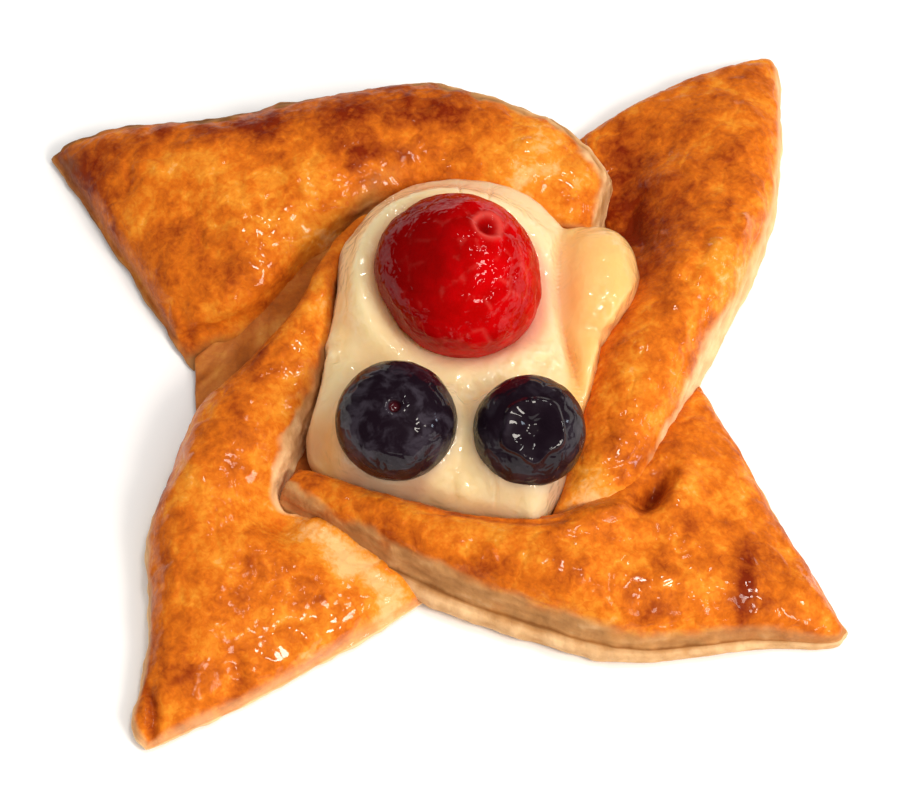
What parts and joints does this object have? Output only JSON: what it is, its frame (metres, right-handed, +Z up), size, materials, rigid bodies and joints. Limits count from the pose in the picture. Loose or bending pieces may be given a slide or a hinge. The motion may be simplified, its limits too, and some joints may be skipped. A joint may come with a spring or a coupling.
{
  "type": "danish pastry",
  "caption": "Baked pinwheel danish with folded arms round a custard centre, topped with fresh raspberry and blueberry fruit.",
  "frame": {"origin": "middle of the flat underside's bounding box", "axes": "+Z up through the berries, +X to the right and +Y to the back as the pastry is shown"},
  "size_m": [0.1106, 0.1106, 0.0287],
  "materials": {
    "crust": "baked laminated dough with a thin sugar glaze",
    "custard": "smooth set custard with a wet sheen",
    "raspberry_skin": "fresh fruit under clear jelly glaze",
    "blueberry_skin": "dark fruit skin under clear jelly glaze"
  },
  "bodies": {
    "root": {"pastry": "crust", "custard": "custard", "raspberry": "raspberry_skin", "blueberry_left": "blueberry_skin", "blueberry_right": "blueberry_skin"}
  },
  "joints": []
}
